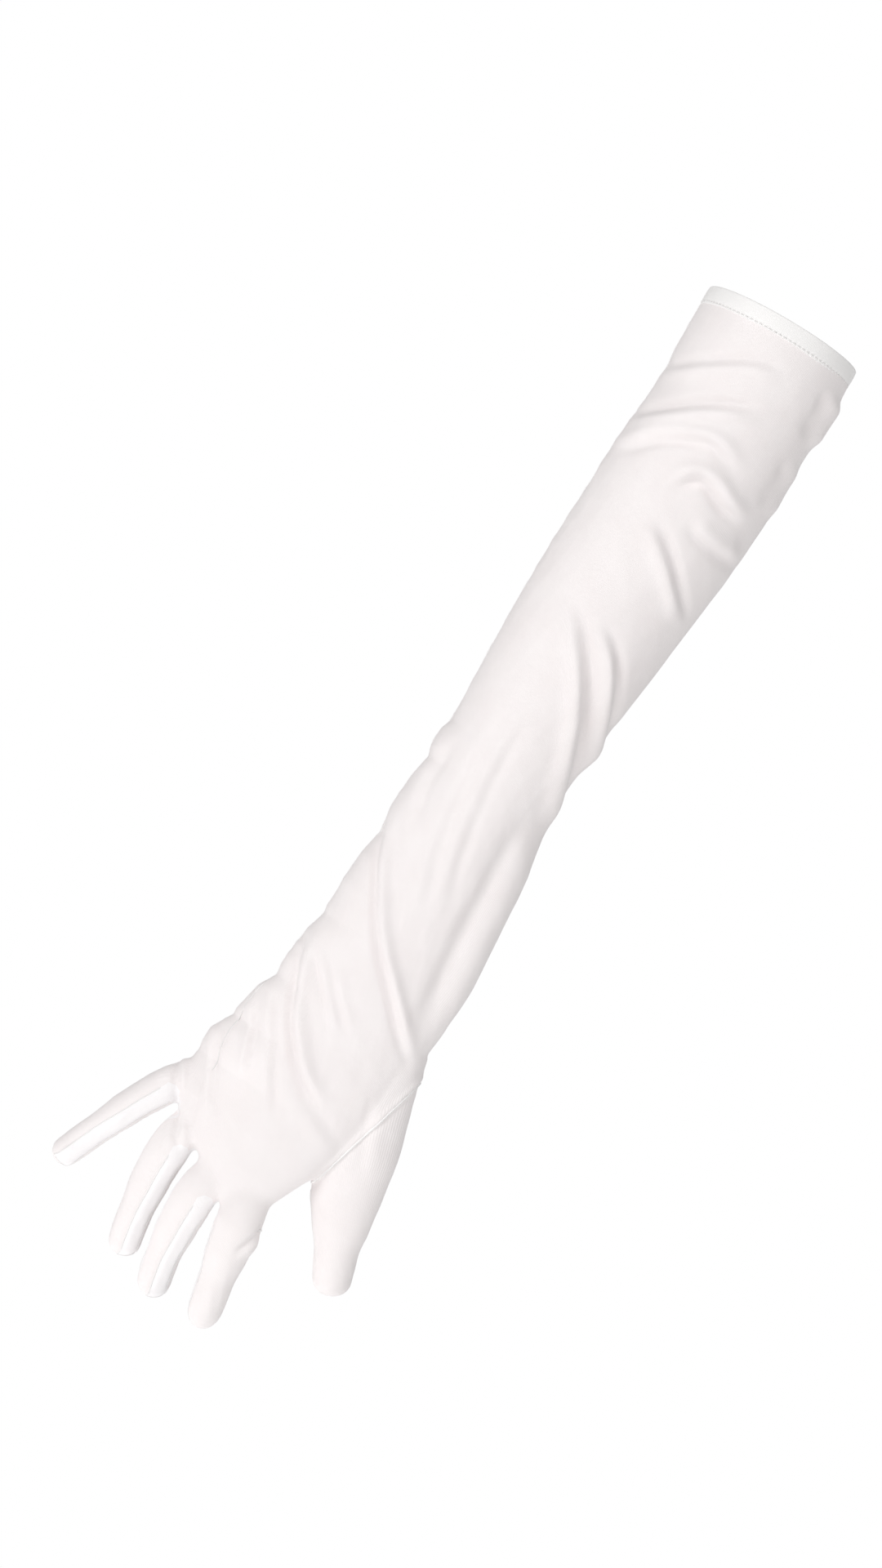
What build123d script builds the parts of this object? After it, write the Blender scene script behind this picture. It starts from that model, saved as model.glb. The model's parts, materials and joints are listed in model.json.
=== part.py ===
"""Opera-length glove for a right hand, in the shape it takes on the arm.

Millimetres. The origin is the centre of the arm opening, on the hem's top edge. +Z points out of the
opening along the arm, so the glove hangs below it. -Y is the side of the back of the hand, and +X is
the thumb side. The cloth is cut where the wearer's joints bend it, so that each length can turn.
"""

import os
from collections import namedtuple
from math import atan2, cos, degrees, radians, sin

from build123d import *

# ---- Driving dimensions ----
cloth = 0.7  # thickness of the stretch knit
bend_gap = 0.6  # between two lengths of cloth at a bend
hinge_clear = 1.0  # from the cloth to the hinge line of a bend
hinge_roll = 27.0  # the four fingers close side by side, so their hinge lines share one roll

opening_radius = 40.0  # inside of the hem
hem_thickness = 1.6  # cloth turned in and stitched down
hem_height = 9.5
hem_roll = 0.7  # rounding of the hem's edges
stitch_length = 2.0
stitch_pitch = 2.7
stitch_size = 0.45

elbow_height = -150.0
wrist_height = -385.0

seam_width = 1.3  # a seam shows as a low rib
seam_height = 0.6
fourchette_half = 4.6  # half the width of the strip between two fingers
fourchette_end = 0.93  # where a strip runs out, as a share of the finger's length

# The arm's length of cloth: height, centre in x, half width and half depth.
ArmStation = namedtuple("ArmStation", "height centre half_width half_depth")
arm = [
    ArmStation(-hem_height, 0.0, 41.2, 41.2),
    ArmStation(-55.0, 1.0, 41.2, 40.4),
    ArmStation(-115.0, -1.5, 41.2, 39.0),
    ArmStation(-165.0, -6.0, 39.2, 37.0),
    ArmStation(-220.0, -8.5, 35.8, 33.5),
    ArmStation(-270.0, -9.0, 34.0, 30.5),
    ArmStation(-330.0, -8.0, 37.0, 26.5),
    ArmStation(wrist_height, -9.0, 41.0, 23.0),
]

# The hand: centre, then tilt towards the little finger and roll of the thumb side towards the viewer.
HandStation = namedtuple("HandStation", "centre tilt roll half_width half_depth")
hand = [
    HandStation((-9.0, 0.0, wrist_height), 0.0, 0.0, 41.0, 23.0),
    HandStation((-15.0, 1.0, -425.0), 10.0, 8.0, 42.5, 19.5),
    HandStation((-25.0, 3.0, -457.0), 20.0, 15.0, 43.5, 17.0),
    HandStation((-33.5, 5.0, -481.0), 27.0, 18.0, 42.0, 14.5),
    HandStation((-42.5, 6.5, -493.5), 35.0, 20.0, 29.0, 10.5),
]
hand_middle = 1  # the station whose plane parts the back of the hand from the palm

# A finger: the centre of its base, the straight line to its tip, its roll, its bend towards the palm,
# its half width and half depth at the base and near the tip, and the depth of its stub in the hand.
Finger = namedtuple("Finger", "name base tip roll bend width depth tip_width stub strips")
index = Finger("index", (-6.0, -5.0, -513.0), (3.0, 9.0, -567.0), 16.0, 12.0, 12.2, 10.4, 8.6, 24.0, "-")
middle = Finger("middle", (-31.8, 2.0, -514.0), (-25.0, 33.0, -566.0), 34.0, 26.0, 10.6, 10.0, 8.2, 26.0, "-+")
ring = Finger("ring", (-54.5, 9.0, -501.0), (-48.0, 33.0, -556.5), 30.0, 24.0, 10.2, 9.6, 7.8, 24.0, "-+")
little = Finger("little", (-73.2, 15.0, -477.0), (-99.5, 25.0, -533.5), 38.0, 12.0, 8.8, 8.4, 6.8, 22.0, "+")
thumb = Finger("thumb", (30.0, 6.0, -476.5), (50.0, 16.0, -520.5), 4.0, 10.0, 15.5, 12.5, 9.6, 60.0, "")
fingers = [index, middle, ring, little]

# Where a finger's cross-section stands between its base and its round tip, and how far it has narrowed.
finger_profile = [(0.0, 0.0), (0.35, 0.5), (0.7, 0.85), (1.0, 1.0)]

# The thumb's own cloth is set in along a slanting seam, from the wrist to the thumb's crotch.
thumb_seam_top = (37.0, -402.0)
thumb_seam_bottom = (15.0, -476.0)
thumb_root_half_width = 12.0
thumb_root_half_depth = 13.0

# The bottom of each gap between fingers, where the two strips of a fourchette are sewn together.
crotches = {
    "index_middle": (-19.8, 0.0, -509.0),
    "middle_ring": (-44.5, 6.0, -498.0),
    "ring_little": (-63.5, 12.0, -479.5),
}
crotch_width = 9.0
crotch_length = 13.0

reach = 60.0  # larger than any cross-section, for cutting planes


# ---- Planes and blanks ----
def hand_plane(station):
    """The plane across the hand: x to the thumb side, y to the back of the hand, z to the fingers."""
    tilt, roll = radians(station.tilt), radians(station.roll)
    across = (cos(tilt) * cos(roll), -sin(roll), -sin(tilt) * cos(roll))
    return Plane(origin=station.centre, x_dir=across, z_dir=(-sin(tilt), 0, -cos(tilt)))


def finger_directions(finger, roll):
    """The straight line to the tip, the way to the thumb side at that roll, and the way out of the back."""
    chord = (Vector(*finger.tip) - Vector(*finger.base)).normalized()
    level = Vector(-chord.Z, 0, chord.X).normalized()
    across = level * cos(radians(roll)) + chord.cross(level) * sin(radians(roll))
    return chord, across, chord.cross(across)


def finger_plane(finger, roll):
    """The plane across a finger's base: x to the thumb side, y to its back, z along the bent finger."""
    chord, across, out = finger_directions(finger, roll)
    half = radians(finger.bend / 2)
    return Plane(origin=finger.base, x_dir=across, z_dir=chord * cos(half) + out * sin(half))


def finger_length(finger):
    """Along the bent middle line, from the straight distance."""
    chord = (Vector(*finger.tip) - Vector(*finger.base)).length
    half = radians(finger.bend / 2)
    return chord * half / sin(half)


def bend_radius(finger):
    return finger_length(finger) / radians(finger.bend)


def cross_plane(finger, share):
    """The plane across the finger at that share of its length."""
    base = finger_plane(finger, finger.roll)
    turn = finger.bend * share
    radius = bend_radius(finger)
    centre = (0, radius * (cos(radians(turn)) - 1), radius * sin(radians(turn)))
    local = Plane(origin=centre, x_dir=(1, 0, 0), z_dir=(0, -sin(radians(turn)), cos(radians(turn))))
    return Plane(
        origin=base.from_local_coords(local.origin),
        x_dir=base.x_dir,
        z_dir=(base.y_dir * local.z_dir.Y + base.z_dir * local.z_dir.Z),
    )


def arm_blank(grow):
    """The arm's cloth as one solid form, that much larger all round."""
    with BuildPart() as blank:
        for station in arm:
            with BuildSketch(Plane.XY.offset(station.height)):
                with Locations((station.centre, 0)):
                    Ellipse(station.half_width + grow, station.half_depth + grow)
        loft()
    return blank.part


def finger_blank(finger, grow):
    """A finger as one solid form from its base plane to its rounded tip."""
    start = bend_gap / finger_length(finger)
    dome_start = 1 - finger.tip_width / finger_length(finger)
    with BuildPart() as blank:
        for step, narrowing in finger_profile:
            share = start + (dome_start - start) * step
            width = finger.width + (finger.tip_width - finger.width) * narrowing
            depth = finger.depth + (finger.tip_width - finger.depth) * narrowing
            with BuildSketch(cross_plane(finger, share)):
                Ellipse(depth + grow, width + grow, rotation=90)
        loft()
        dome_plane = cross_plane(finger, dome_start)
        with BuildSketch(Plane(origin=dome_plane.origin, x_dir=dome_plane.z_dir, z_dir=dome_plane.x_dir)):
            Circle(finger.tip_width + grow)
            with Locations((-reach / 2, 0)):
                Rectangle(reach, reach, mode=Mode.SUBTRACT)
            with Locations((0, -reach / 2)):
                Rectangle(reach, reach, mode=Mode.SUBTRACT)
        revolve(axis=Axis(dome_plane.origin, dome_plane.z_dir))
    return blank.part


def stub_blank(finger, grow, past=0.0):
    """The stump of the hand's cloth that a finger continues."""
    plane = finger_plane(finger, finger.roll)
    with BuildPart() as blank:
        with BuildSketch(plane.offset(-finger.stub)):
            Ellipse(finger.width + grow, finger.depth + grow)
        extrude(amount=finger.stub + past)
    return blank.part


def thumb_root_blank(grow, past=0.0):
    """The swelling of the hand over the ball of the thumb."""
    plane = finger_plane(thumb, thumb.roll)
    with BuildPart() as blank:
        with BuildSketch(plane.offset(-thumb.stub)):
            Ellipse(thumb_root_half_width + grow, thumb_root_half_depth + grow)
        with BuildSketch(plane.offset(-thumb.stub * 0.45)):
            Ellipse(thumb.width + 1.5 + grow, thumb.depth + 2.0 + grow)
        with BuildSketch(plane.offset(past)):
            Ellipse(thumb.width + grow, thumb.depth + grow)
        loft()
    return blank.part


def hand_blank(grow, past=0.0):
    """The hand with the stumps of its fingers as one solid form."""
    with BuildPart() as blank:
        for station in hand:
            end_growth = grow if station is hand[-1] else 0
            with BuildSketch(hand_plane(station).offset(end_growth)):
                Ellipse(station.half_width + grow, station.half_depth + grow)
        loft()
        for finger in fingers:
            add(stub_blank(finger, grow, past))
        add(thumb_root_blank(grow, past))
    return blank.part


# ---- Upper arm ----
with BuildPart() as hem_band:
    with BuildSketch():
        Circle(opening_radius + hem_thickness)
        Circle(opening_radius, mode=Mode.SUBTRACT)
    extrude(amount=-hem_height)
    outer_edges = hem_band.edges().filter_by(GeomType.CIRCLE).sort_by(SortBy.RADIUS)[-2:]
    fillet(outer_edges, radius=hem_roll)

with BuildPart() as hem_stitching:
    stitch_circle = opening_radius + hem_thickness + stitch_size / 2
    stitch_count = round(2 * 3.14159 * stitch_circle / stitch_pitch)
    with Locations((0, 0, hem_roll + stitch_size - hem_height)):
        with PolarLocations(stitch_circle, stitch_count):
            Box(stitch_size, stitch_length, stitch_size)

with BuildPart() as arm_cloth:
    add(arm_blank(0))
    add(arm_blank(-cloth), mode=Mode.SUBTRACT)

with BuildPart() as upper_sleeve:
    add(arm_cloth.part)
    split(bisect_by=Plane.XY.offset(elbow_height + bend_gap / 2), keep=Keep.TOP)

with BuildPart() as forearm_sleeve:
    add(arm_cloth.part)
    split(bisect_by=Plane.XY.offset(elbow_height - bend_gap / 2), keep=Keep.BOTTOM)
    split(bisect_by=Plane.XY.offset(wrist_height + bend_gap), keep=Keep.TOP)


def arm_seam(low, high):
    """The side seam along the little-finger side, between two heights."""
    with BuildPart() as seam:
        add(arm_blank(seam_height))
        add(arm_blank(0), mode=Mode.SUBTRACT)
        with Locations((-reach, 0, (low + high) / 2)):
            Box(2 * reach - 20, seam_width, high - low, mode=Mode.INTERSECT)
    return seam.part


with BuildPart() as upper_side_seam:
    add(arm_seam(elbow_height + bend_gap / 2, -hem_height - bend_gap))

with BuildPart() as forearm_side_seam:
    add(arm_seam(wrist_height + bend_gap, elbow_height - bend_gap / 2))


# ---- Hand ----
hand_outside = hand_blank(0)
hand_seam_outside = hand_blank(seam_height)

with BuildPart() as hand_cloth:
    add(hand_outside)
    add(hand_blank(-cloth, past=1.0), mode=Mode.SUBTRACT)

with BuildPart() as thumb_region:
    with BuildSketch(Plane.XZ) as outline:
        with BuildLine():
            Polyline(
                (thumb_seam_top[0], thumb_seam_top[1] + 14),
                thumb_seam_top,
                thumb_seam_bottom,
                (thumb_seam_bottom[0] + 1, thumb_seam_bottom[1] - 9),
                (reach + 10, thumb_seam_bottom[1] - 9),
                (reach + 10, thumb_seam_top[1] + 14),
                close=True,
            )
        make_face()
    extrude(amount=reach, both=True)

hand_mid_plane = hand_plane(hand[hand_middle])
parting_plane = Plane(origin=hand_mid_plane.origin, x_dir=hand_mid_plane.x_dir, z_dir=hand_mid_plane.y_dir)


def crotch_box(place):
    """The room that the crotch of a fourchette takes up."""
    across = hand_plane(hand[-1])
    box_plane = Plane(origin=place, x_dir=across.x_dir, z_dir=across.z_dir)
    with BuildPart() as room:
        with BuildSketch(box_plane.offset(-crotch_length / 2)):
            Rectangle(crotch_width, 2 * fourchette_half)
        extrude(amount=crotch_length)
    return room.part


with BuildPart() as trank_on_hand:
    add(hand_cloth.part)
    add(thumb_region.part, mode=Mode.SUBTRACT)
    for place in crotches.values():
        add(crotch_box(place), mode=Mode.SUBTRACT)

with BuildPart() as hand_back:
    add(trank_on_hand.part)
    split(bisect_by=parting_plane, keep=Keep.TOP)

with BuildPart() as hand_palm:
    add(trank_on_hand.part)
    split(bisect_by=parting_plane, keep=Keep.BOTTOM)

with BuildPart() as thumb_root:
    add(hand_cloth.part)
    add(thumb_region.part, mode=Mode.INTERSECT)

crotch_parts = {}
for pair, place in crotches.items():
    with BuildPart() as crotch:
        add(hand_cloth.part)
        add(crotch_box(place), mode=Mode.INTERSECT)
    crotch_parts[f"crotch_{pair}"] = crotch.part


# ---- Fingers ----
def chord_slab(finger, low, high, side=0, end=1.3):
    """What lies between two heights over the finger's straight line, on one side of it or on both."""
    width = 2 * reach if side == 0 else reach
    chord, across, out = finger_directions(finger, finger.roll)
    run = finger_length(finger)
    sagging = run * radians(finger.bend) / 8
    line = Plane(origin=finger.base, x_dir=across, z_dir=chord)
    with BuildPart() as slab:
        with BuildSketch(line.offset(-0.2 * run)):
            with Locations((side * width / 2, sagging / 2 + (low + high) / 2)):
                Rectangle(width, high - low)
        extrude(amount=(end + 0.2) * run)
    return slab.part


def finger_pieces(finger):
    """The back, the palm side and the fourchette strips of one finger, and its seams."""
    outside = finger_blank(finger, 0)
    inside = finger_blank(finger, -cloth)
    pieces = {}
    rooms = []
    for sign in finger.strips:
        word, side = {"-": ("outer", -1), "+": ("inner", 1)}[sign]
        rooms.append(chord_slab(finger, -fourchette_half, fourchette_half, side, fourchette_end))
        with BuildPart() as strip:
            add(outside)
            add(rooms[-1], mode=Mode.INTERSECT)
            add(inside, mode=Mode.SUBTRACT)
        pieces[f"{finger.name}_fourchette_{word}"] = strip.part
    for word, keep in [("back", Mode.INTERSECT), ("palm", Mode.SUBTRACT)]:
        with BuildPart() as half:
            add(outside)
            add(chord_slab(finger, 0, reach), mode=keep)
            for room in rooms:
                add(room, mode=Mode.SUBTRACT)
            add(inside, mode=Mode.SUBTRACT)
        pieces[f"{finger.name}_{word}"] = half.part
    pieces[f"{finger.name}_seams"] = finger_seams(finger)
    return pieces


def finger_seams(finger):
    """A rib along each edge of each fourchette strip, and one where the trank itself is closed."""
    half = seam_width / 2
    lines = []
    for sign in finger.strips:
        side = -1 if sign == "-" else 1
        lines += [(fourchette_half, side, fourchette_end), (-fourchette_half, side, fourchette_end)]
    if finger in (little, thumb):
        lines.append((0, -1, 1.0))
    grown = finger_blank(finger, seam_height)
    outside = finger_blank(finger, 0)
    with BuildPart() as ribs:
        for height, side, end in lines:
            add((grown & chord_slab(finger, height - half, height + half, side, end)) - outside)
    return ribs.part


# ---- Seams on the hand ----
with BuildPart() as side_plate:
    with BuildSketch(parting_plane.offset(-seam_width / 2)):
        with Locations((-reach, -4)):
            Rectangle(2 * reach - 20, 84)
    extrude(amount=seam_width)

with BuildPart() as hand_side_seam:
    add(hand_seam_outside)
    add(hand_outside, mode=Mode.SUBTRACT)
    add(side_plate.part, mode=Mode.INTERSECT)

with BuildPart() as thumb_seam_plate:
    seam_run = Vector(*thumb_seam_bottom) - Vector(*thumb_seam_top)
    seam_middle = (Vector(*thumb_seam_bottom) + Vector(*thumb_seam_top)) / 2
    with BuildSketch(Plane.XZ):
        with Locations(Location((seam_middle.X, seam_middle.Y), degrees(atan2(seam_run.Y, seam_run.X)))):
            Rectangle(seam_run.length, seam_width)
    extrude(amount=reach, both=True)

with BuildPart() as thumb_seam:
    add(hand_seam_outside)
    add(hand_outside, mode=Mode.SUBTRACT)
    add(thumb_seam_plate.part, mode=Mode.INTERSECT)


# ---- Hinge lines ----
def hinge_line(finger):
    """The crease that a finger bends at, just outside the palm side of its base."""
    plane = finger_plane(finger, hinge_roll if finger in fingers else finger.roll)
    return plane.from_local_coords((0, -finger.depth - hinge_clear, 0)), plane.x_dir


# ---- Files ----
pieces = {
    "hem_band": hem_band.part,
    "hem_stitching": hem_stitching.part,
    "upper_sleeve": upper_sleeve.part,
    "upper_side_seam": upper_side_seam.part,
    "forearm_sleeve": forearm_sleeve.part,
    "forearm_side_seam": forearm_side_seam.part,
    "hand_back": hand_back.part,
    "hand_palm": hand_palm.part,
    "hand_side_seam": hand_side_seam.part,
    "thumb_root": thumb_root.part,
    "thumb_seam": thumb_seam.part,
}
pieces.update(crotch_parts)
for finger in fingers + [thumb]:
    pieces.update(finger_pieces(finger))

os.makedirs("parts", exist_ok=True)
for name, piece in pieces.items():
    piece.label = name
    export_step(piece, f"parts/{name}.step")
    print(name, len(piece.solids()), round(piece.volume, 1))
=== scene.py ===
import json
from collections import namedtuple
from math import cos, pi, radians, sin

import bmesh
import bpy
import numpy as np
from mathutils import Matrix, Vector


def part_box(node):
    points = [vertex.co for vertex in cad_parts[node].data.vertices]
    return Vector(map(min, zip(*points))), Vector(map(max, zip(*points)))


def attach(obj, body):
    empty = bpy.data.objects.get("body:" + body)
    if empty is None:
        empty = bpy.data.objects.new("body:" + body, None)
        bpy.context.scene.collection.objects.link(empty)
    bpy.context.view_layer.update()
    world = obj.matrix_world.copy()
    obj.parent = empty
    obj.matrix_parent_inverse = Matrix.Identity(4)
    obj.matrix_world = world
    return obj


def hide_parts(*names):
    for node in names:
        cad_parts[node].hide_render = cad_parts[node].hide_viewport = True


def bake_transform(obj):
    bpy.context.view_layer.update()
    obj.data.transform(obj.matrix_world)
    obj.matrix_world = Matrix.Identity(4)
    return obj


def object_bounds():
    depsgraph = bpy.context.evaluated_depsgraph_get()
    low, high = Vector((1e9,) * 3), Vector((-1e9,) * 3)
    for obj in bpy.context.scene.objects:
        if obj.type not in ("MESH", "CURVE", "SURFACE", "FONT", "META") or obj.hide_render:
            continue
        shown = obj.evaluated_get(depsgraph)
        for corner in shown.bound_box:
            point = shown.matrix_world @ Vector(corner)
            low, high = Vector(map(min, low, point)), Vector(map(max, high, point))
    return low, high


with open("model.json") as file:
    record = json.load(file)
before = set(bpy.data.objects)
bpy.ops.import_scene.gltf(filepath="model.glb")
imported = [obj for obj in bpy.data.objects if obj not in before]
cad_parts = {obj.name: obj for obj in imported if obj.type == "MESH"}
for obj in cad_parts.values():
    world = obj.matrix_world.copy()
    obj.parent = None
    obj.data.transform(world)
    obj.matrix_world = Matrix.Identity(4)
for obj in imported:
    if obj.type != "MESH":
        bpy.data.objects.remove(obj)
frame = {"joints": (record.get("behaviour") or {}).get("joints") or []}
cad_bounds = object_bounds()

# ---- Camera ----
# The glove is looked at level, from the back of the hand, with the arm slanting up to the right.
# The camera leans instead of the glove, because the part's own axis runs along the arm.
view_centre = Vector((-0.0307, 0.0, -0.2768))
view_distance = 2.0
view_right = Vector((0.860, 0, 0.510)).normalized()
view_up = Vector((-0.510, 0, 0.860)).normalized()


def new_object(name, data):
    """An object of the scene."""
    made = bpy.data.objects.new(name, data)
    bpy.context.scene.collection.objects.link(made)
    return made


camera = new_object("camera", bpy.data.cameras.new("camera"))
camera.data.lens = 93.75
camera.data.sensor_width = 36
camera.data.clip_end = 50
view_back = view_right.cross(view_up)
turned = Matrix((view_right, view_up, view_back)).transposed()
camera.matrix_world = Matrix.Translation(view_centre + view_back * view_distance) @ turned.to_4x4()
bpy.context.scene.camera = camera


# ---- Floor and light ----
# A white studio floor under the hanging hand, in a white room. One broad soft light stands up to the
# left of the camera and a weaker one fills in from the right.
floor_gap = 0.70
floor_reach = 1.5
room_light = 0.40  # how strongly the room's white walls light the glove


def dial(node, values):
    """Sets a node's inputs by their names."""
    for name, value in values.items():
        node.inputs[name].default_value = value


def plain_material(name, colour, roughness, glow=0.0):
    """One even colour that may also give off light."""
    material = bpy.data.materials.new(name)
    material.use_nodes = True
    shader = material.node_tree.nodes["Principled BSDF"]
    dial(shader, {"Base Color": (*colour, 1), "Roughness": roughness})
    dial(shader, {"Emission Color": (1, 1, 1, 1), "Emission Strength": glow})
    return material


floor_height = cad_bounds[0][2] - floor_gap
bpy.ops.mesh.primitive_plane_add(size=2 * floor_reach, location=(0, 0, floor_height))
floor = bpy.context.object
floor.name = "studio_floor"
floor.data.materials.append(plain_material("studio_floor", (0.8, 0.8, 0.8), 0.9, 0.78))


def soft_light(name, direction, size, watts, tint=(1, 1, 1), distance=2.2):
    """A square light that faces the middle of the glove from that direction."""
    lamp = bpy.data.lights.new(name, "AREA")
    lamp.size = size
    lamp.energy = watts
    lamp.color = tint
    holder = new_object(name, lamp)
    direction = Vector(direction).normalized()
    holder.location = view_centre + direction * distance
    holder.rotation_euler = direction.to_track_quat("Z", "Y").to_euler()


soft_light("key_light", view_up * 1.0 - view_right * 0.7 + view_back * 1.3, 1.0, 21)
soft_light("fill_light", view_right * 1.0 + view_back * 1.0, 1.6, 11)
soft_light("back_light", Vector((0.2, 1.0, 0.6)), 1.6, 4)

world = bpy.data.worlds.new("white_room")
world.use_nodes = True
room = world.node_tree.nodes["Background"]
dial(room, {"Color": (1, 1, 1, 1)})
rays = world.node_tree.nodes.new("ShaderNodeLightPath")
level = world.node_tree.nodes.new("ShaderNodeMapRange")
dial(level, {"To Min": room_light, "To Max": 1.0})
world.node_tree.links.new(rays.outputs["Is Camera Ray"], level.inputs["Value"])
world.node_tree.links.new(level.outputs["Result"], room.inputs["Strength"])
bpy.context.scene.world = world
bpy.context.scene.view_settings.view_transform = "Standard"


# ---- The worn shape ----
# The glove has no shape of its own: it takes the arm's and the hand's. This closed form is what all
# the cloth follows. It is a tube for the arm, a flatter one for the hand, and one for each finger.
# Its sections are given in millimetres, as on the knitter's measuring form.
MM = 0.001
fineness = 1.15 * MM  # the length of a mesh edge
round_points = 64
even_rounds = 6  # how often the joined form is evened out
crotch_rounds = 45  # how often it is softened where the fingers leave the hand

elbow, wrist = frame["joints"][0], frame["joints"][1]
hem_low, hem_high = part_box("hem_band")
arm = [  # height, centre, half width, half depth
    (hem_high.z / MM, 0.0, 41.0, 41.0),
    (-25.0, 0.6, 42.0, 41.0),
    (-50.0, 0.6, 40.6, 40.0),
    (-85.0, -0.8, 42.2, 39.0),
    (-120.0, -2.4, 41.4, 38.5),
    (-150.0, -4.8, 40.2, 37.0),
    (-190.0, -6.9, 37.9, 35.0),
    (-230.0, -8.4, 34.8, 33.0),
    (-268.0, -9.6, 32.6, 30.0),
    (-300.0, -8.4, 36.0, 28.0),
    (-345.0, -7.6, 38.6, 25.5),
    (wrist["pos_m"][2] / MM, -9.2, 41.4, 23.0),
]

HandStation = namedtuple("HandStation", "centre tilt roll half_width half_depth")
hand = [
    HandStation((-9.2, 0.0, wrist["pos_m"][2] / MM), 0.0, 0.0, 41.4, 23.0),
    HandStation((-11.5, 0.5, -405.0), 5.0, 4.0, 42.0, 21.0),
    HandStation((-15.5, 1.0, -425.0), 10.0, 8.0, 43.5, 19.0),
    HandStation((-25.0, 3.0, -457.0), 20.0, 15.0, 44.5, 16.6),
    HandStation((-33.5, 5.0, -481.0), 27.0, 18.0, 41.5, 13.6),
    HandStation((-42.0, 6.5, -492.0), 35.0, 20.0, 28.0, 9.0),
]

# Lengths in millimetres, angles in degrees. The twist turns the strips at a finger's sides towards the
# back of the hand, and a higher point makes the tip blunter and shorter.
Finger = namedtuple("Finger", "name base tip roll bend width depth tip_width stub strips twist point")
fingers = [
    Finger("index", (-6.0, -5.0, -513.0), (3.0, 9.0, -567.0),
           16.0, 12.0, 12.4, 10.6, 8.6, 24.0, (-1,), 0.0, 0.72),
    Finger("middle", (-31.8, 2.0, -514.0), (-26.0, 33.0, -567.5),
           34.0, 26.0, 11.4, 10.4, 8.4, 26.0, (-1, 1), 22.0, 1.0),
    Finger("ring", (-54.5, 9.0, -501.0), (-49.0, 33.0, -558.0),
           30.0, 24.0, 11.2, 10.2, 8.2, 24.0, (-1, 1), 24.0, 1.0),
    Finger("little", (-73.2, 15.0, -477.0), (-100.0, 25.0, -534.0),
           38.0, 12.0, 9.8, 9.2, 7.4, 22.0, (1,), 26.0, 1.0),
    Finger("thumb", (33.0, 6.0, -476.5), (50.5, 16.0, -521.5),
           4.0, 10.0, 18.0, 13.5, 9.8, 60.0, (), 0.0, 1.15),
]
thumb = fingers[-1]


def ring(centre, across, up, half_width, half_depth):
    """Points round an ellipse."""
    turn = np.linspace(0, 2 * pi, round_points, endpoint=False)[:, None]
    sideways = np.cos(turn) * half_width * np.array(across)
    return np.array(centre) + sideways + np.sin(turn) * half_depth * np.array(up)


def faces_between(rings, count, start=0):
    """The faces that join rings of that many points, the first of which has the number start."""
    faces = []
    for first in range(start, start + (rings - 1) * count, count):
        for j in range(count):
            k = (j + 1) % count
            faces.append((first + j, first + k, first + count + k, first + count + j))
    return faces


def tube(name, rings):
    """A closed mesh through rings of points."""
    count = len(rings[0])
    points = [tuple(p * MM) for r in rings for p in r]
    faces = faces_between(len(rings), count)
    faces.append(tuple(reversed(range(count))))
    faces.append(tuple((len(rings) - 1) * count + j for j in range(count)))
    mesh = bpy.data.meshes.new(name)
    mesh.from_pydata(points, [], faces)
    return new_object(name, mesh)


def flowing(rows, steps=14, rounds=10):
    """Rows of numbers, with more rows let in between them and the corners taken off."""
    rows = np.array(rows, float)
    places = np.linspace(0, len(rows) - 1, (len(rows) - 1) * steps + 1)
    dense = np.stack([np.interp(places, np.arange(len(rows)), column) for column in rows.T], axis=1)
    for _ in range(rounds):
        dense[1:-1] = dense[1:-1] * 0.5 + (dense[:-2] + dense[2:]) * 0.25
    return dense


def smooth_step(x, low, high):
    """0 below low, 1 above high, and an even slope between them."""
    t = np.clip((x - low) / (high - low), 0, 1)
    return t * t * (3 - 2 * t)


def hand_axes(tilt, roll):
    """Across the hand to the thumb side, out of the back of the hand, and towards the fingers."""
    tilt, roll = radians(tilt), radians(roll)
    across = np.array((cos(tilt) * cos(roll), -sin(roll), -sin(tilt) * cos(roll)))
    along = np.array((-sin(tilt), 0, -cos(tilt)))
    return across, np.cross(along, across), along


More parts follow.
